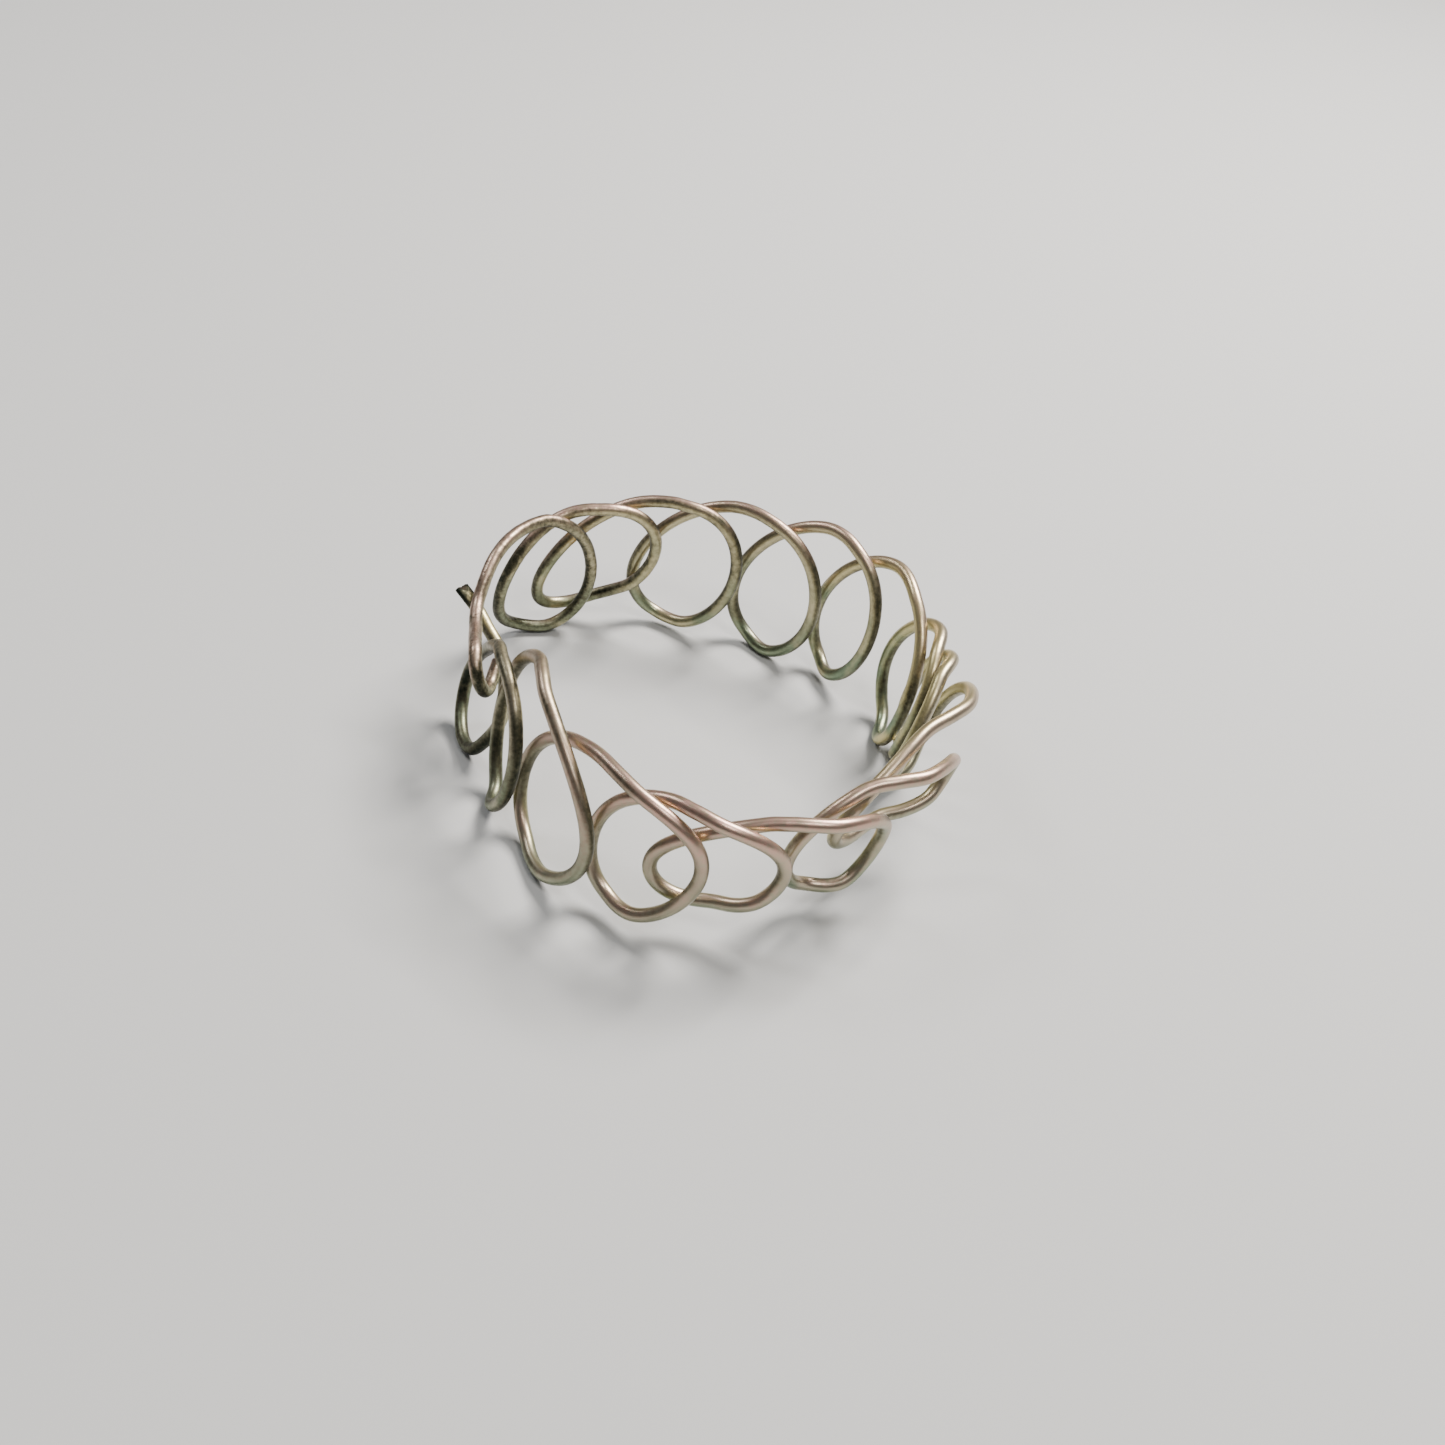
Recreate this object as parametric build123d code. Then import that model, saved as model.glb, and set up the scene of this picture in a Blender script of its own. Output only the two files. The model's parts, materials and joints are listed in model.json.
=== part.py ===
"""Finger ring bent by hand from one length of round wire.

The wire runs clockwise (seen from above) round the finger in fifteen upright loops.
Near the top of every loop it crosses itself, from the outer layer to the inner one:
it goes down the inside at the loop's leading side, back along the bottom, up the
outside at the trailing side and forward over the next crest.  The first end is turned
into a small hook, and the last loop starts between the two legs of that hook.  The last
end is a cut tail that comes up inside the hook and turns outwards behind it, so the ends
hold each other without touching.

The wire is one piece in the real ring.  It is divided here at every crest, and again
where the tail leaves the last loop, into pieces that meet on a flat cut face.

Units are millimetres, +Z is up, the ring stands on Z = 0 and its front faces -Y.
"""
import os
from copy import copy
from math import cos, floor, pi, radians, sin, sqrt

from build123d import *

os.makedirs("parts", exist_ok=True)

# ---- driving dimensions -------------------------------------------------------------
WIRE_DIAMETER = 0.55
RING_RADIUS = 9.1        # mean radius of the wire's centre line, half way up
OVAL = 0.065             # the plan is this much longer along OVAL_AXIS, as a part of the radius
OVAL_AXIS = 128          # degrees anticlockwise from +X
EGG = 0.06               # three-cornered bulge of the plan, as a part of the radius
BAND_LEAN = 0.25         # the band leans towards +X by this much per mm of height
MID_HEIGHT = 3.2
CROSSING = 0.30          # how sharply it changes layer at a crest, 0 is a step
STEPS_PER_LOOP = 24      # points of the centre line in one loop of the table
STEPS_PER_PLACE = 2      # the same, from one place given by hand to the next
EASE = 0.07              # turns of the table that lead into and out of the parts given by hand

# One row for each loop, in the order of the wire.  The last row only shapes the crest
# that leads into the last loop, whose own places are in LAST_LOOP.
# station: where the loop stands, degrees anticlockwise from +X
# half: half its width, degrees
# low: height of its bottom; crest: height of the crest before it
# reach: degrees that this crest is pushed forward
# tilt: rise of the leading side and fall of the trailing side
# lead, trail: how far its leading and trailing sides stand out of the band's mean surface
# swap: where its bottom changes layer, before the middle (-) or past it (+)
LOOPS = [
    dict(station=136, half=15.0, low=0.36, crest=6.5, reach=0, tilt=-0.3, lead=-0.4, trail=0.4, swap=0),
    dict(station=123, half=17.5, low=1.10, crest=6.4, reach=0, tilt=0.7, lead=-0.4, trail=0.4, swap=-0.6),
    dict(station=98, half=19.5, low=0.50, crest=6.6, reach=0, tilt=0.0, lead=-0.4, trail=0.4, swap=0),
    dict(station=71, half=19.5, low=0.32, crest=6.7, reach=-2, tilt=-0.4, lead=-0.4, trail=0.4, swap=0),
    dict(station=49, half=16.0, low=0.60, crest=6.8, reach=0, tilt=-0.3, lead=-0.4, trail=0.4, swap=0),
    dict(station=21, half=16.5, low=0.34, crest=6.5, reach=-4, tilt=-0.3, lead=-0.4, trail=0.4, swap=0),
    dict(station=11, half=12.0, low=0.60, crest=5.7, reach=-2, tilt=0.0, lead=-0.4, trail=0.4, swap=-0.6),
    dict(station=-1, half=15.0, low=0.75, crest=5.7, reach=0, tilt=0.0, lead=-0.4, trail=0.6, swap=0),
    dict(station=-36, half=23.5, low=2.30, crest=6.3, reach=0, tilt=0.0, lead=-0.4, trail=1.4, swap=0.5),
    dict(station=-51, half=16.0, low=1.20, crest=6.0, reach=0, tilt=-0.1, lead=-0.4, trail=0.8, swap=0),
    dict(station=-82, half=19.0, low=1.60, crest=5.6, reach=0, tilt=0.1, lead=-0.4, trail=0.7, swap=0.5),
    dict(station=-97, half=16.5, low=0.80, crest=6.1, reach=0, tilt=0.0, lead=-0.4, trail=0.4, swap=0),
    dict(station=-122, half=24.0, low=0.34, crest=6.3, reach=0, tilt=0.0, lead=-0.4, trail=0.4, swap=0),
    dict(station=-146, half=16.5, low=0.50, crest=7.0, reach=11, tilt=0.0, lead=-0.4, trail=0.4, swap=0),
    dict(station=-170, half=20.5, low=0.34, crest=5.75, reach=6, tilt=-0.2, lead=0.55, trail=0.25, swap=0),
]

# The three parts given place by place, in the order of the wire.  Each place is whole degrees
# anticlockwise from +X (or clockwise, with a minus), height, mm out of the band's mean surface.

# The first end: a hook, from its cut face down, round and up to the crest before the first loop.
HOOK = [(181, 3.8, -0.8), (184, 3.5, -0.6), (189, 3.3, -0.3), (194, 3.7, 0.2), (195, 4.3, 0.6),
        (193, 4.9, 0.8), (188, 5.2, 0.7), (179, 4.9, 0.4), (170, 5.1, 0.4), (166, 5.7, 0.4),
        (160, 6.2, 0.4), (152, 6.5, 0.3)]

# The last loop, after the crest before it: between the legs of the hook, down beyond it, back
# along the bottom and up again.
LAST_LOOP = [(-169, 5.6, 0), (-176, 4.8, -0.2), (-181, 4.0, -0.3), (-185, 3.1, -0.2),
             (-186, 2.0, -0.1), (-183, 1.0, -0.1), (-178, 0.5, -0.1), (-172, 0.3, -0.1),
             (-166, 0.6, -0.2), (-164, 1.8, -0.6)]

# The last end: up inside the hook, under the first end and outwards to the cut tip.
TAIL = [(-167, 2.4, -0.9), (-174, 2.9, -1.1), (-181, 3.2, -1.2), (-185, 3.7, -0.9),
        (-188, 4.1, -0.4), (-192, 4.5, 0.3), (-194, 5.1, 1.3)]

WIRE_RADIUS = WIRE_DIAMETER / 2


def smooth_through(values, position):
    """A smooth curve through a list of numbers, where value n is at position n."""
    before = [3 * values[0] - 2 * values[1], 2 * values[0] - values[1]]
    after = [2 * values[-1] - values[-2], 3 * values[-1] - 2 * values[-2]]
    values = before + list(values) + after
    row = floor(position)
    part = position - row
    before, here, there, after = values[row + 1:row + 5]
    slope_here, slope_there = (there - before) / 2, (after - here) / 2
    blend = 3 * part**2 - 2 * part**3
    return (here + (there - here) * blend
            + slope_here * part * (1 - part)**2 - slope_there * part**2 * (1 - part))


def along_loops(name, position):
    """A smooth curve through one column of LOOPS, where row n is at position n."""
    return smooth_through([loop[name] for loop in LOOPS], position)


def on_band(degrees, height, out):
    """The point at this angle and height, this far outside the band's mean surface."""
    angle = radians(degrees)
    shape = 1 + OVAL * cos(2 * (angle - radians(OVAL_AXIS))) + EGG * sin(3 * angle)
    radius = RING_RADIUS * shape + out
    lean = BAND_LEAN * (height - MID_HEIGHT)
    return Vector(radius * cos(angle) + lean, radius * sin(angle), height)


def wire_place(turn):
    """Degrees, height and mm out of the band: a whole turn is a crest, a half turn a bottom."""
    phase = 2 * pi * turn
    row = turn - 0.5
    rise = (1 + cos(phase)) / 2
    low, crest = along_loops("low", row), along_loops("crest", turn)
    height = low + (crest - low) * rise + along_loops("tilt", row) * sin(phase)
    degrees = (along_loops("station", row) - along_loops("half", row) * sin(phase)
               - along_loops("reach", turn) * rise)
    side = sin(phase) + along_loops("swap", row) * (1 - cos(phase)) / 2
    side = side / sqrt(side**2 + CROSSING**2)
    lead, trail = along_loops("lead", row), along_loops("trail", row)
    return degrees, height, (lead + trail + (lead - trail) * side) / 2


def on_wire(turn):
    """The centre line where the table of loops gives it."""
    return on_band(*wire_place(turn))


def by_hand(places, first, last):
    """The centre line through places given by hand, from place number first to place number last."""
    steps = (last - first) * STEPS_PER_PLACE
    positions = [first + step / STEPS_PER_PLACE for step in range(steps + 1)]
    columns = list(zip(*places))
    return [on_band(*(smooth_through(column, position) for column in columns)) for position in positions]


def wire_piece(points):
    """A round wire along a smooth line through the points, cut square at both ends.

    The first and the last point only give its direction there, and are left out.
    """
    directions = [(after - before).normalized() for before, after in zip(points, points[2:])]
    points = points[1:-1]
    ends = zip(points, points[1:], directions, directions[1:])
    path = Wire([Spline([here, there], tangents=[leave, arrive]) for here, there, leave, arrive in ends])
    section = Plane(origin=points[0], z_dir=directions[0]) * Circle(WIRE_RADIUS)
    solid = sweep(section, path=path)
    expected = pi * WIRE_RADIUS**2 * path.length
    print(f"length {path.length:.2f} mm, volume {solid.volume:.4f} of {expected:.4f} mm3")
    return solid


# ---- the wire's centre line, from its first cut end to its last ----------------------
last_crest = len(LOOPS) - 1
step = 1 / STEPS_PER_LOOP
table_line = [on_wire(number * step) for number in range(last_crest * STEPS_PER_LOOP + 1)]

hook_places = HOOK + [wire_place(0), wire_place(EASE)]
hook_line = by_hand(hook_places, 0, len(HOOK))

end_places = [wire_place(last_crest - EASE), wire_place(last_crest)] + LAST_LOOP + TAIL
end_line = by_hand(end_places, 1, len(end_places) - 1)

line = hook_line + table_line[1:] + end_line[1:]
line = [2 * line[0] - line[1]] + line + [2 * line[-1] - line[-2]]

# ---- the pieces: cut where each crest is, and where the tail leaves the last loop ----
first_crest = len(hook_line) - 1
cuts = [0] + [first_crest + number * STEPS_PER_LOOP for number in range(last_crest + 1)]
cuts += [cuts[-1] + len(LAST_LOOP) * STEPS_PER_PLACE, len(line) - 3]
names = ["start_hook"] + [f"loop_{number:02d}" for number in range(1, last_crest + 2)] + ["end_tail"]
pieces = {name: wire_piece(line[start:end + 3]) for name, start, end in zip(names, cuts, cuts[1:])}

# ---- put the ring on its origin and save it -----------------------------------------
box = Compound(children=[copy(piece) for piece in pieces.values()]).bounding_box()
shift = Vector(-box.center().X, -box.center().Y, -box.min.Z)
print(f"moved by {shift.X:.4f}, {shift.Y:.4f}, {shift.Z:.4f} mm; box {box.size}")

for name, piece in pieces.items():
    solid = Pos(shift) * piece
    solid.label = name
    export_step(solid, f"parts/{name}.step")
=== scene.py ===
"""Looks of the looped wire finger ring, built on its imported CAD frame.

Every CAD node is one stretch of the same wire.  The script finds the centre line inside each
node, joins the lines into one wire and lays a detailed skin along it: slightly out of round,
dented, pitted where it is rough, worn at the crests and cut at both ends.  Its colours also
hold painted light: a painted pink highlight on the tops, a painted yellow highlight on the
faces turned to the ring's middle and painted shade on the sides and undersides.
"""
import json
from math import cos, pi, radians, sin

import bpy
import numpy as np
from mathutils import Matrix, Vector, noise
from mathutils.bvhtree import BVHTree


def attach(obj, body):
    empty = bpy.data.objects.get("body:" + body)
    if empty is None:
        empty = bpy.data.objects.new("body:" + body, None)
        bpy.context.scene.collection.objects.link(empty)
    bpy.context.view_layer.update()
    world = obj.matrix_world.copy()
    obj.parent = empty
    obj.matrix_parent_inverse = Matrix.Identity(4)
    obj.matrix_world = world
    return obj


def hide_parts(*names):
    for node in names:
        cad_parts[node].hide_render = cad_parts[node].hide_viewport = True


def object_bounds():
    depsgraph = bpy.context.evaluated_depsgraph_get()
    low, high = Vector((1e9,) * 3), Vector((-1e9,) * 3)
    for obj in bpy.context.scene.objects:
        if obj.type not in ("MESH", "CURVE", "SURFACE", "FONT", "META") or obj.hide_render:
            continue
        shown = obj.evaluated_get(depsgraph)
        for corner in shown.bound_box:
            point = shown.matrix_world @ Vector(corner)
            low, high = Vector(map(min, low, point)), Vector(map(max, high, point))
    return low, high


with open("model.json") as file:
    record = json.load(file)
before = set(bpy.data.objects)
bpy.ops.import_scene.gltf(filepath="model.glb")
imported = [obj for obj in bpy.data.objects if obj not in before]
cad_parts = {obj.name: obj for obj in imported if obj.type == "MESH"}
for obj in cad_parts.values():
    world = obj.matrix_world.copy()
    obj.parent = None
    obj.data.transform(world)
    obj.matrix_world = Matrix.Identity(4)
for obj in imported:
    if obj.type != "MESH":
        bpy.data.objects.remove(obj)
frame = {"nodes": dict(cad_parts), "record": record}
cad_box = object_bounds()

MM = 0.001
WIRE_RADIUS = 0.275 * MM
MARCH = 0.10 * MM         # step of the search for the centre line
RING_STEP = 0.055 * MM    # distance between rings of the skin
AROUND = 28               # points in one ring
END_MARGIN = 0.02 * MM    # the search stops this far from an end face
RAY = 4 * WIRE_RADIUS     # how far the search looks for the tube's wall
MOST_POINTS = 4000        # a search with more points than this has gone wrong
SMOOTHINGS = 6            # rounds of smoothing of the joined centre line
CAP_RINGS = (0.86, 0.62, 0.34)   # sizes of the rings that close an end
STEER = 2                 # weight of the newest step in the direction of the search
WALL_TOLERANCE = 0.1 * WIRE_RADIUS   # how well a wall has to fit before the search starts there

# Sizes of the wear on the skin
BEND_SIZE = 1.6 * MM
DENT_SIZE = 0.55 * MM
GRAIN_SIZE = 0.16 * MM
PIT_SIZE = 0.15 * MM
PITS_BELOW = 0.55         # pits are only where the dents' noise is below this
CUT_LUMP_SIZE = 0.12 * MM
CUT_LUMP_HEIGHT = 0.07 * MM
TWIST = 0.9               # how far the flat sides turn to and fro along the wire, radians
TWIST_LENGTH = 2.3 * MM
RIM_LENGTH = 0.28 * WIRE_RADIUS   # each cut end is rounded over this length
RIM_LOSS = 0.22           # part of the radius that the rounding takes off
NIP_LENGTH = 1.5 * MM     # the last end is squashed over this length
NIP_WIDENING = 0.28       # how much wider it gets at the tip, as a part of the radius
NIP_FLATTENING = 0.35     # and how much thinner
NOTCH_DEPTH = 0.34 * MM
NOTCH_HALF_WIDTH = 0.30 * MM

# Part of the radius that the wear takes off, on a smooth stretch and how much more on a rough one
OUT_OF_ROUND = 0.016
BEND_LOSS = 0.016
DENT_LOSS, ROUGH_DENT_LOSS = 0.012, 0.060
GRAIN_LOSS, ROUGH_GRAIN_LOSS = 0.004, 0.030
PIT_LOSS, ROUGH_PIT_LOSS = 0.010, 0.060

# The nodes in the order of the wire, from its first cut end to its last.
ORDER = ["start_hook"] + [f"loop_{number:02d}" for number in range(1, 16)] + ["end_tail"]

# How each node looks, from 0 to 1: dark tarnish, pitted roughness, warm rub with a painted pink
# highlight, green patina and a painted yellow highlight.
DARK = dict(start_hook=0.48, loop_01=0.46, loop_02=0.42, loop_03=0.32, loop_04=0.32, loop_05=0.32,
            loop_06=0.26, loop_07=0.22, loop_08=0.15, loop_09=0.10, loop_10=0.15, loop_11=0.20,
            loop_12=0.25, loop_13=0.32, loop_14=0.50, loop_15=0.66, end_tail=0.36)
ROUGH = dict(start_hook=0.9, loop_01=0.9, loop_02=0.6, loop_03=0.3, loop_04=0.2, loop_05=0.2,
             loop_06=0.25, loop_07=0.2, loop_08=0.2, loop_09=0.15, loop_10=0.15, loop_11=0.05,
             loop_12=0.05, loop_13=0.1, loop_14=0.2, loop_15=0.4, end_tail=0.5)
# warm rub with a painted pink highlight on the tops
WARM_RUB_AND_HIGHLIGHT = dict(start_hook=0.9, loop_01=1.0, loop_02=1.0, loop_03=0.9, loop_04=0.9, loop_05=0.8,
            loop_06=0.3, loop_07=0.2, loop_08=0.2, loop_09=0.6, loop_10=0.9, loop_11=1.0,
            loop_12=1.0, loop_13=0.8, loop_14=0.3, loop_15=0.1, end_tail=0.1)
GREEN = dict(start_hook=0.5, loop_01=0.7, loop_02=0.7, loop_03=0.8, loop_04=0.9, loop_05=1.0,
             loop_06=1.0, loop_07=0.8, loop_08=0.3, loop_09=0.6, loop_10=0.9, loop_11=0.6,
             loop_12=0.3, loop_13=0.6, loop_14=0.9, loop_15=1.0, end_tail=0.8)
# painted yellow highlight on the faces turned up and to the ring's middle
YELLOW_HIGHLIGHT = dict(start_hook=0.2, loop_01=0.3, loop_02=0.5, loop_03=0.4, loop_04=0.3, loop_05=0.5,
              loop_06=1.0, loop_07=1.0, loop_08=1.0, loop_09=0.9, loop_10=0.6, loop_11=0.5,
              loop_12=0.6, loop_13=0.5, loop_14=0.6, loop_15=0.3, end_tail=0.8)
SIDE_SHADE = 0.50          # painted shade: how much darker the faces turned sideways and down are
DARK_TIP = 0.6            # and how much darker the nipped tip is than the rest of the tail
CUT_LOOK = [0, 0.6, 0, 1, 0, 0.4, 0]   # least amount of each look on a cut face

# Where the brass under the silver shows: node, part of the way along it, reach
BRASS_SPOTS = [("loop_02", 0.78, 0.45 * MM), ("loop_08", 0.58, 0.40 * MM)]


# ---- the wire's centre line ----------------------------------------------------------

def cross_directions(direction, count=12):
    """Unit vectors at right angles to the direction, evenly round it."""
    side = direction.orthogonal().normalized()
    other = direction.cross(side)
    return [side * cos(2 * pi * turn / count) + other * sin(2 * pi * turn / count)
            for turn in range(count)]


def centred(tree, point, direction):
    """The middle of the tube's section through a point inside it."""
    hits = []
    for ray in cross_directions(direction):
        hit = tree.ray_cast(point, ray, RAY)[0]
        if hit is not None:
            hits.append(hit)
    return sum(hits, Vector()) / len(hits) if hits else point


def march(tree, start, direction):
    """Centre points from the start to the tube's end face, in one direction."""
    points = [start]
    point, direction = start.copy(), direction.normalized()
    while len(points) < MOST_POINTS:
        ahead = tree.ray_cast(point, direction, MARCH + END_MARGIN)[0]
        if ahead is not None:
            points.append(point + direction * ((ahead - point).length))
            return points
        guess = centred(tree, point + direction * MARCH, direction)
        direction = (direction + (guess - point).normalized() * STEER).normalized()
        point = guess
        points.append(point.copy())
    raise RuntimeError("the centre line of a node has no end")


def inside_tube(tree, mesh):
    """A point on the centre line and a direction along it, found from one face of the side."""
    for polygon in mesh.polygons:
        outward = Vector(polygon.normal)
        point = Vector(polygon.center) - outward * WIRE_RADIUS
        across = tree.ray_cast(point, -outward, RAY)[3]
        if across is None or abs(across - WIRE_RADIUS) > WALL_TOLERANCE:
            continue
        rays = cross_directions(outward)
        reach = [tree.ray_cast(point, ray, RAY)[3] or RAY for ray in rays]
        return point, rays[reach.index(max(reach))]
    raise RuntimeError("no start for a centre line")


def node_line(node):
    """The centre line of one CAD node, as an array of points."""
    mesh = frame["nodes"][node].data
    tree = BVHTree.FromPolygons([v.co for v in mesh.vertices], [p.vertices for p in mesh.polygons])
    middle, along = inside_tube(tree, mesh)
    forward = march(tree, middle, along)
    backward = march(tree, middle, -along)
    return np.array([list(point) for point in backward[:0:-1] + forward])


def distance(first, second):
    return float(np.linalg.norm(first - second))


def end_gap(point, line):
    """How far the point is from the nearer end of the line."""
    return min(distance(point, line[0]), distance(point, line[-1]))


def joined_lines():
    """The centre lines of all nodes, all running from the first cut end to the last."""
    lines = [node_line(node) for node in ORDER]
    if end_gap(lines[0][0], lines[1]) < end_gap(lines[0][-1], lines[1]):
        lines[0] = lines[0][::-1]
    for number in range(1, len(lines)):
        before, line = lines[number - 1], lines[number]
        if distance(line[-1], before[-1]) < distance(line[0], before[-1]):
            lines[number] = line[::-1]
    return lines


def smoothed(points, rounds):
    """The same line with the noise of the facets taken out; its ends stay put."""
    points = points.copy()
    for _ in range(rounds):
        points[1:-1] = points[1:-1] / 2 + (points[:-2] + points[2:]) / 4
    return points


def whole_wire():
    """The rings of the whole wire, from its first cut end to its last.

    Gives their centres, tangents, two cross directions and distances along the wire, and the
    number of the first ring of each node.
    """
    lines = joined_lines()
    points, breaks = [lines[0]], [0, len(lines[0]) - 1]
    for line in lines[1:]:
        points.append(line[1:])
        breaks.append(breaks[-1] + len(line) - 1)
    points = smoothed(np.vstack(points), SMOOTHINGS)
    along = np.concatenate([[0], np.cumsum(np.linalg.norm(np.diff(points, axis=0), axis=1))])
    stops = along[breaks]
    places, first_ring = [0.0], [0]
    for start, end in zip(stops, stops[1:]):
        count = max(4, round((end - start) / RING_STEP))
        places += list(np.linspace(start, end, count + 1)[1:])
        first_ring.append(first_ring[-1] + count)
    places = np.array(places)
    centres = np.stack([cubic(places, along, points[:, axis]) for axis in range(3)], axis=1)
    tangents = np.gradient(centres, places, axis=0)
    tangents /= np.linalg.norm(tangents, axis=1)[:, None]
    side = np.cross(tangents[0], [0, 0, 1])
    sides = []
    for tangent in tangents:
        side = side - tangent * side.dot(tangent)
        side = side / np.linalg.norm(side)
        sides.append(side)
    sides = np.array(sides)
    return centres, tangents, sides, np.cross(tangents, sides), places, first_ring


def cubic(places, along, values):
    """A smooth curve through the values, read at the places."""
    slopes = np.gradient(values, along)
    index = np.clip(np.searchsorted(along, places, side="right") - 1, 0, len(along) - 2)
    width = along[index + 1] - along[index]
    part = (places - along[index]) / width
    before, after = values[index], values[index + 1]
    slope_before, slope_after = slopes[index] * width, slopes[index + 1] * width
    return ((2 * part**3 - 3 * part**2 + 1) * before + (part**3 - 2 * part**2 + part) * slope_before
            + (3 * part**2 - 2 * part**3) * after + (part**3 - part**2) * slope_after)


# ---- the skin ------------------------------------------------------------------------

def along_wire(table, stops, places):
    """A look that changes smoothly along the wire, full strength at each node's middle."""
    middles = [(start + end) / 2 for start, end in zip(stops, stops[1:])]
    return np.interp(places, middles, [table[node] for node in ORDER])


def blotches(points, size, octaves=2.0):
    """Smooth noise of about 0 to 1 at each point, whose patches are this big."""
    values = [noise.fractal(Vector(point) / size, 1.0, 2.0, octaves) for point in points]
    return np.clip(0.5 + 0.45 * np.array(values), 0, 1)


def eased(values, low, high):
    """0 below low and 1 above high, changing smoothly between them."""
    share = np.clip((values - low) / (high - low), 0, 1)
    return share * share * (3 - 2 * share)


def brass_spots(places, stops):
    """1 in the middle of each place where the brass under the silver shows, 0 away from them."""
    shares = np.zeros(len(places))
    for node, part, reach in BRASS_SPOTS:
        number = ORDER.index(node)
        middle = stops[number] + part * (stops[number + 1] - stops[number])
        shares = np.maximum(shares, np.exp(-((places - middle) / reach)**2))
    return shares


def pits(points, size):
    """1 in the middle of scattered pits, 0 between them."""
    values = [noise.voronoi(Vector(point) / size)[0][0] for point in points]
    return np.clip(1 - np.array(values) / 0.42, 0, 1)**1.5


def end_profile(depth):
    """How much of the full radius is left this far from a cut end, for its rounded rim."""
    inset = np.clip(1 - depth / RIM_LENGTH, 0, 1)
    return 1 - RIM_LOSS * inset**2


def wear(surface):
    """Noise of 0 to 1 all over the skin: wide bends, dents, fine grain and pits."""
    flat, shape = surface.reshape(-1, 3), surface.shape[:2]
    bends = blotches(flat, BEND_SIZE).reshape(shape)
    dents = blotches(flat, DENT_SIZE).reshape(shape)
    grain = blotches(flat, GRAIN_SIZE, 3.0).reshape(shape)
    hollows = pits(flat, PIT_SIZE).reshape(shape) * (dents < PITS_BELOW)
    return bends, dents, grain, hollows


def worn_radius(places, angles, rough, bends, dents, grain, hollows):
    """The wire's radius all over: a little out of round, dented and pitted, with rounded rims."""
    profile = end_profile(places) * end_profile(places[-1] - places)
    swing = np.cos(2 * (angles[None, :] - TWIST * np.sin(places[:, None] / TWIST_LENGTH)))
    loss = (OUT_OF_ROUND * (1 - swing) / 2 + BEND_LOSS * bends
            + (DENT_LOSS + ROUGH_DENT_LOSS * rough) * (1 - dents)**2
            + (GRAIN_LOSS + ROUGH_GRAIN_LOSS * rough) * grain
            + (PIT_LOSS + ROUGH_PIT_LOSS * rough) * hollows)
    return WIRE_RADIUS * profile[:, None] * (1 - loss)


def skin_looks(surface, outward, places, stops, nip, bends, dents, hollows):
    """The seven looks of every skin point: dark (tarnish and painted shade), cavity, warm (rub and
    painted pink highlight), rough, green, yellow (painted highlight), brass.

    Up, out, height and the bends say where a finger rubs and the tops get a painted pink
    highlight, where green gathers low down, where the metal facing the middle of the ring gets a
    painted yellow highlight and which sides get painted shade.
    """
    dark, rough, warm_rub_and_highlight, green, yellow_metal_and_highlight = (along_wire(table, stops, places)[:, None]
                                        for table in (DARK, ROUGH, WARM_RUB_AND_HIGHLIGHT, GREEN, YELLOW_HIGHLIGHT))
    away = surface[:, :, :2] / np.linalg.norm(surface[:, :, :2], axis=2)[:, :, None]
    out = (outward[:, :, :2] * away).sum(axis=2)
    up = outward[:, :, 2]
    height = surface[:, :, 2] / cad_box[1][2]
    ragged = 0.5 * (bends - 0.5)
    # warm rub mixed with a painted pink highlight, strongest on tops, outer faces and high parts
    rubbed_and_lit = eased(0.75 * up + 0.35 * out + 0.9 * (height - 0.5) + ragged, -0.1, 0.9)
    low = eased(0.75 - height - 0.15 * up + 0.8 * (bends - 0.5), 0.0, 0.55)
    # painted yellow highlight on faces turned up and towards the ring's middle
    inner = eased(0.5 * up - out + ragged, -0.1, 0.8)
    # painted shade: faces turned sideways and down get darker, on top of the tarnish
    unshaded = eased(np.maximum(up, 0.95 * np.abs(out)) + ragged, 0.35, 0.95)
    cavity = np.clip(hollows * (0.2 + 0.6 * rough) + 0.5 * (1 - dents)**2 * rough, 0, 1)
    tarnish_and_shade = dark + SIDE_SHADE * (1 - unshaded) + DARK_TIP * nip
    brass = brass_spots(places, stops)[:, None]
    looks = (tarnish_and_shade, cavity, warm_rub_and_highlight * rubbed_and_lit, rough, green * low, yellow_metal_and_highlight * inner, brass)
    return np.stack([np.broadcast_to(look, up.shape) for look in looks], axis=2)


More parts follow.
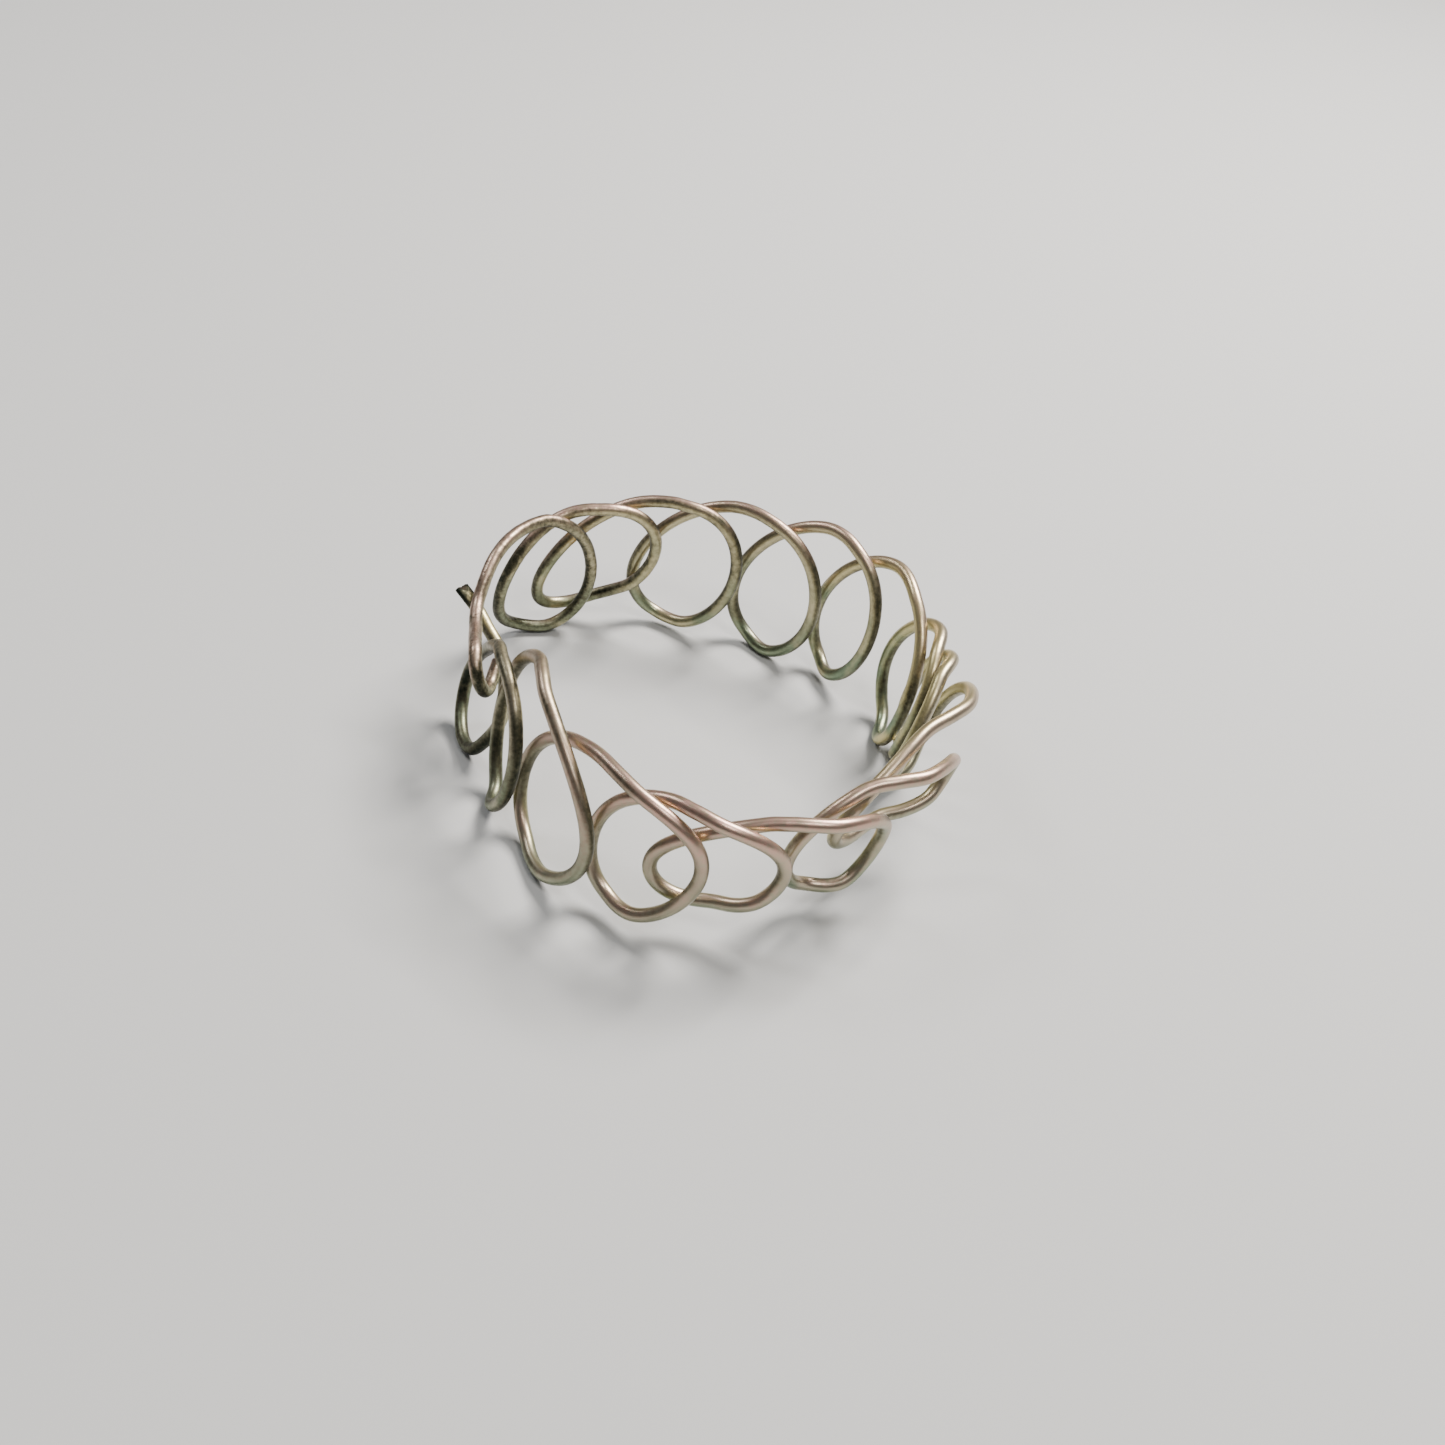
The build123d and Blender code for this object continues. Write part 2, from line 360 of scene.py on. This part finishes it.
def skin():
    """All the wire's skin points, ring by ring, with the looks of each."""
    centres, tangents, sides, ups, places, first_ring = whole_wire()
    stops = places[first_ring]
    angles = np.arange(AROUND) * 2 * pi / AROUND
    outward = (sides[:, None, :] * np.cos(angles)[None, :, None]
               + ups[:, None, :] * np.sin(angles)[None, :, None])
    surface = centres[:, None, :] + WIRE_RADIUS * outward
    bends, dents, grain, hollows = wear(surface)
    rough = along_wire(ROUGH, stops, places)[:, None]
    radius = worn_radius(places, angles, rough, bends, dents, grain, hollows)

    # The last end is nipped: squashed flat towards the tip and notched like a fish's tail.
    nip = eased((places - places[-1] + NIP_LENGTH)[:, None], 0, NIP_LENGTH)
    across = radius * np.cos(angles) * (1 + NIP_WIDENING * nip)
    over = radius * np.sin(angles) * (1 - NIP_FLATTENING * nip)
    points = (centres[:, None, :] + across[:, :, None] * sides[:, None, :]
              + over[:, :, None] * ups[:, None, :])
    notch = NOTCH_DEPTH * nip**3 * (1 - np.minimum(np.abs(across) / NOTCH_HALF_WIDTH, 1))
    points -= notch[:, :, None] * tangents[:, None, :]

    looks = skin_looks(surface, outward, places, stops, nip, bends, dents, hollows)
    return points, looks, centres, tangents, first_ring


def cap(ring, look, centre, direction, cut):
    """Smaller rings inside the last one, which close an end, and their looks."""
    rings, looks = [], []
    for share in CAP_RINGS:
        inner = centre + (ring - centre) * share
        if cut:
            lumps = blotches(inner, CUT_LUMP_SIZE, 3.0) - 0.5
            inner = inner + direction * (lumps * CUT_LUMP_HEIGHT)[:, None]
        rings.append(inner)
        looks.append(np.maximum(look, CUT_LOOK) if cut else look)
    return rings, looks


def keep_rims_crisp(mesh, rim_rings):
    """Marks the edges of these rings as sharp, so that the shading doesn't run over the rim."""
    for edge in mesh.edges:
        first, second = edge.vertices
        if first // AROUND == second // AROUND and first // AROUND in rim_rings:
            edge.use_edge_sharp = True


def tube_faces(count):
    """Faces of a closed tube of so many rings, whose two middle points come after the rings."""
    faces = []
    for ring in range(count - 1):
        base = ring * AROUND
        for corner in range(AROUND):
            after = (corner + 1) % AROUND
            faces.append((base + corner, base + after,
                          base + AROUND + after, base + AROUND + corner))
    first_middle, last_middle = count * AROUND, count * AROUND + 1
    top = (count - 1) * AROUND
    for corner in range(AROUND):
        after = (corner + 1) % AROUND
        faces.append((after, corner, first_middle))
        faces.append((top + corner, top + after, last_middle))
    return faces


def colour_layer(mesh, name, rows):
    """Stores four numbers for each point of the mesh."""
    layer = mesh.color_attributes.new(name, "FLOAT_COLOR", "POINT")
    layer.data.foreach_set("color", rows.astype(np.float32).ravel())


def wire_piece(node, points, looks, centres, tangents, start, end, material):
    """One node's stretch of the skin as a closed mesh object."""
    first, last = start == 0, end == len(points) - 1
    head, head_looks = cap(points[start], looks[start], centres[start], -tangents[start], first)
    foot, foot_looks = cap(points[end], looks[end], centres[end], tangents[end], last)
    rings = head[::-1] + list(points[start:end + 1]) + foot
    rows = head_looks[::-1] + list(looks[start:end + 1]) + foot_looks
    middles = [rings[0].mean(axis=0), rings[-1].mean(axis=0)]
    rows = np.vstack(rows + [rows[0][:1], rows[-1][:1]])

    mesh = bpy.data.meshes.new(node + "_skin")
    mesh.from_pydata(np.vstack(rings + middles).tolist(), [], tube_faces(len(rings)))
    mesh.update()
    colour_layer(mesh, "looks", rows[:, :4])
    # green patina, a painted yellow highlight and brass
    colour_layer(mesh, "stains_and_highlight", np.hstack([rows[:, 4:], np.ones((len(rows), 1))]))
    mesh.polygons.foreach_set("use_smooth", [True] * len(mesh.polygons))
    keep_rims_crisp(mesh, (len(head), len(rings) - 1 - len(foot)))
    mesh.materials.append(material)
    piece = bpy.data.objects.new(node + "_skin", mesh)
    bpy.context.scene.collection.objects.link(piece)
    return piece


# ---- material ------------------------------------------------------------------------

class Nodes:
    """Short calls for building a node material."""

    def __init__(self, name):
        self.material = bpy.data.materials.new(name)
        self.material.use_nodes = True
        self.tree = self.material.node_tree
        self.shader = self.tree.nodes["Principled BSDF"]

    def add(self, kind, **values):
        node = self.tree.nodes.new(kind)
        for key, value in values.items():
            if hasattr(node, key):
                setattr(node, key, value)
            else:
                node.inputs[key.replace("_", " ")].default_value = value
        return node

    def link(self, source, target):
        self.tree.links.new(source, target)

    def noise(self, place, scale, detail=3.0, roughness=0.55):
        node = self.add("ShaderNodeTexNoise")
        node.inputs["Scale"].default_value = scale
        node.inputs["Detail"].default_value = detail
        node.inputs["Roughness"].default_value = roughness
        self.link(place, node.inputs["Vector"])
        return node.outputs["Fac"]

    def math(self, operation, first, second):
        node = self.add("ShaderNodeMath", operation=operation, use_clamp=False)
        for socket, value in zip(node.inputs, (first, second)):
            if isinstance(value, (int, float)):
                socket.default_value = value
            else:
                self.link(value, socket)
        return node.outputs[0]

    def spread(self, value, low, high, to_low=0.0, to_high=1.0):
        node = self.add("ShaderNodeMapRange", interpolation_type="SMOOTHSTEP")
        self.link(value, node.inputs["Value"])
        limits = {"From Min": low, "From Max": high, "To Min": to_low, "To Max": to_high}
        for socket, number in limits.items():
            node.inputs[socket].default_value = number
        return node.outputs["Result"]

    def mix(self, share, first, second):
        node = self.add("ShaderNodeMix", data_type="RGBA")
        self.link(share, node.inputs["Factor"])
        for socket, value in ((node.inputs[6], first), (node.inputs[7], second)):
            if isinstance(value, tuple):
                socket.default_value = (*value, 1.0)
            else:
                self.link(value, socket)
        return node.outputs[2]


METAL = (0.42, 0.39, 0.28)
# painted yellow highlight of the inner faces, also the yellow of the cut faces
YELLOW_METAL_AND_HIGHLIGHT = (0.74, 0.64, 0.31)
GREEN_PATINA = (0.20, 0.27, 0.175)
# warm rub with a painted pink highlight
WARM_RUB_AND_HIGHLIGHT_COLOUR = (0.59, 0.37, 0.30)
BRASS = (0.62, 0.36, 0.10)
# tarnish colours, which also paint the shade on the sides and undersides
BROWN_TARNISH_AND_SHADE = (0.105, 0.098, 0.062)
BLACK_TARNISH_AND_SHADE = (0.018, 0.023, 0.015)
PIT_BROWN = (0.06, 0.045, 0.032)
PATCHES = 520.0           # scale of the noise, in repeats per metre
SPECKLES = 5200.0
FINE_GRAIN = 16000.0
METALLIC = 0.95
BUMP_STRENGTH = 0.6
BUMP_HEIGHT = 0.010 * MM


def tarnished_wire():
    """Old silvery wire: satin metal, warm rub and a painted pink highlight on top, a painted yellow
    highlight on the inner faces, green low down, brown to black tarnish and painted shade on the
    sides.
    """
    make = Nodes("tarnished_wire")
    place = make.add("ShaderNodeTexCoord").outputs["Object"]
    looks = make.add("ShaderNodeAttribute", attribute_name="looks")
    parts = make.add("ShaderNodeSeparateColor")
    make.link(looks.outputs["Color"], parts.inputs[0])
    # dark holds the tarnish and the painted shade; warm holds the rub and the painted pink
    # highlight
    dark, cavity, warm_rub_and_highlight = parts.outputs
    rough = looks.outputs["Alpha"]
    stains_and_highlight = make.add("ShaderNodeAttribute", attribute_name="stains_and_highlight")
    stain_and_highlight_parts = make.add("ShaderNodeSeparateColor")
    make.link(stains_and_highlight.outputs["Color"], stain_and_highlight_parts.inputs[0])
    green, yellow_metal_and_highlight, brass = stain_and_highlight_parts.outputs

    patches = make.noise(place, PATCHES, 3.0)
    speckles = make.noise(place, SPECKLES, 3.0, 0.6)
    grain = make.noise(place, FINE_GRAIN, 2.0)

    # painted yellow highlight on the inner faces, and the yellow of the cut faces
    colour = make.mix(yellow_metal_and_highlight, METAL, YELLOW_METAL_AND_HIGHLIGHT)
    green_share = make.math("MULTIPLY", green, make.spread(patches, 0.30, 0.55))
    warm_rub_and_highlight_share = make.math("MULTIPLY", warm_rub_and_highlight, make.spread(speckles, 0.32, 0.62, 0.45, 1.0))
    brass_share = make.math("MULTIPLY", brass, make.spread(speckles, 0.35, 0.60))
    colour = make.mix(green_share, colour, GREEN_PATINA)
    # warm rub with a painted pink highlight on the tops
    colour = make.mix(warm_rub_and_highlight_share, colour, WARM_RUB_AND_HIGHLIGHT_COLOUR)
    colour = make.mix(brass_share, colour, BRASS)
    clouds = make.math("MULTIPLY", make.math("SUBTRACT", patches, 0.5), 0.9)
    mottle = make.math("ADD", make.math("MULTIPLY", rough, 0.8), 0.4)
    spots = make.math("MULTIPLY", make.math("SUBTRACT", speckles, 0.5), mottle)
    amount = make.math("ADD", make.math("ADD", dark, clouds), spots)
    # brown to black tarnish, which also paints the shade on the sides and undersides
    colour = make.mix(make.spread(amount, 0.22, 0.95), colour, BROWN_TARNISH_AND_SHADE)
    colour = make.mix(make.spread(amount, 0.76, 1.25), colour, BLACK_TARNISH_AND_SHADE)
    colour = make.mix(make.spread(cavity, 0.15, 0.8), colour, PIT_BROWN)
    make.link(colour, make.shader.inputs["Base Color"])

    satin = make.spread(amount, 0.1, 1.0, 0.30, 0.44)
    satin = make.math("ADD", satin, make.math("MULTIPLY", speckles, 0.08))
    satin = make.math("ADD", satin, make.math("MULTIPLY", cavity, 0.15))
    make.link(satin, make.shader.inputs["Roughness"])
    make.shader.inputs["Metallic"].default_value = METALLIC

    bump = make.add("ShaderNodeBump")
    bump.inputs["Strength"].default_value = BUMP_STRENGTH
    bump.inputs["Distance"].default_value = BUMP_HEIGHT
    height = make.math("ADD", make.math("MULTIPLY", speckles, make.math("ADD", rough, 0.20)),
                       make.math("MULTIPLY", grain, 0.20))
    make.link(height, bump.inputs["Height"])
    make.link(bump.outputs["Normal"], make.shader.inputs["Normal"])
    return make.material


# ---- stage, light and camera ---------------------------------------------------------

FLOOR_HALF_WIDTH = 0.6
FLOOR_COLOUR = (0.62, 0.62, 0.61)
FLOOR_ROUGHNESS = 0.9
WORLD_COLOUR = (0.80, 0.82, 0.85)
WORLD_STRENGTH = 0.17

# name, the side it comes from (degrees anticlockwise from +X), elevation (degrees), distance
# and size (metres), power (watts), colour
LIGHTS = [
    ("key", 48, 52, 0.22, 0.08, 0.95, (1.0, 0.96, 0.92)),
    ("fill", -50, 60, 0.25, 0.06, 0.20, (1.0, 0.98, 0.95)),
    ("rim", 150, 50, 0.25, 0.06, 0.14, (0.97, 0.98, 1.0)),
]

# The camera is aimed along +Y and downwards, and rolled about its own line of sight.
CAMERA_ELEVATION = 39.3
CAMERA_ROLL = 8.0
CAMERA_PLACE = (0.9144 * MM, -49.2770 * MM, 42.8629 * MM)
CAMERA_LENS = 39.86       # focal length and sensor width, mm
CAMERA_SENSOR = 36.0


def plain_floor():
    size = FLOOR_HALF_WIDTH
    mesh = bpy.data.meshes.new("floor")
    corners = [(-size, -size, 0), (size, -size, 0), (size, size, 0), (-size, size, 0)]
    mesh.from_pydata(corners, [], [(0, 1, 2, 3)])
    floor = bpy.data.objects.new("floor", mesh)
    bpy.context.scene.collection.objects.link(floor)
    make = Nodes("pale_floor")
    make.shader.inputs["Base Color"].default_value = (*FLOOR_COLOUR, 1)
    make.shader.inputs["Roughness"].default_value = FLOOR_ROUGHNESS
    mesh.materials.append(make.material)


def area_light(name, azimuth, elevation, distance_m, size, power, colour):
    """A soft square light, aimed at the ring from this side and height."""
    lamp = bpy.data.lights.new(name, "AREA")
    lamp.size, lamp.energy, lamp.color = size, power, colour
    light = bpy.data.objects.new(name, lamp)
    turn, rise = radians(azimuth), radians(elevation)
    away = Vector((cos(turn) * cos(rise), sin(turn) * cos(rise), sin(rise)))
    light.location = away * distance_m
    light.rotation_euler = away.to_track_quat("Z", "Y").to_euler()
    bpy.context.scene.collection.objects.link(light)


def studio():
    world = bpy.data.worlds.new("studio")
    world.use_nodes = True
    background = world.node_tree.nodes["Background"]
    background.inputs["Color"].default_value = (*WORLD_COLOUR, 1)
    background.inputs["Strength"].default_value = WORLD_STRENGTH
    bpy.context.scene.world = world
    for light in LIGHTS:
        area_light(*light)


def camera():
    rise, roll = radians(CAMERA_ELEVATION), radians(CAMERA_ROLL)
    level, upward = Vector((1, 0, 0)), Vector((0, sin(rise), cos(rise)))
    back = Vector((0, -cos(rise), sin(rise)))
    right = cos(roll) * level + sin(roll) * upward
    up = cos(roll) * upward - sin(roll) * level
    lens = bpy.data.cameras.new("camera")
    lens.sensor_width, lens.lens = CAMERA_SENSOR, CAMERA_LENS
    lens.clip_start, lens.clip_end = 0.001, 10.0
    view = bpy.data.objects.new("camera", lens)
    turn = Matrix((right, up, back)).transposed().to_4x4()
    view.matrix_world = Matrix.Translation(CAMERA_PLACE) @ turn
    bpy.context.scene.collection.objects.link(view)
    bpy.context.scene.camera = view


# ---- build ---------------------------------------------------------------------------

material = tarnished_wire()
points, looks, centres, tangents, first_ring = skin()
bodies = frame["record"]["behaviour"]["bodies"]
body_of_node = {node: body for body, nodes in bodies.items() for node in nodes}
for node, start, end in zip(ORDER, first_ring, first_ring[1:]):
    piece = wire_piece(node, points, looks, centres, tangents, start, end, material)
    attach(piece, body_of_node[node])
    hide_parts(node)

plain_floor()
studio()
camera()
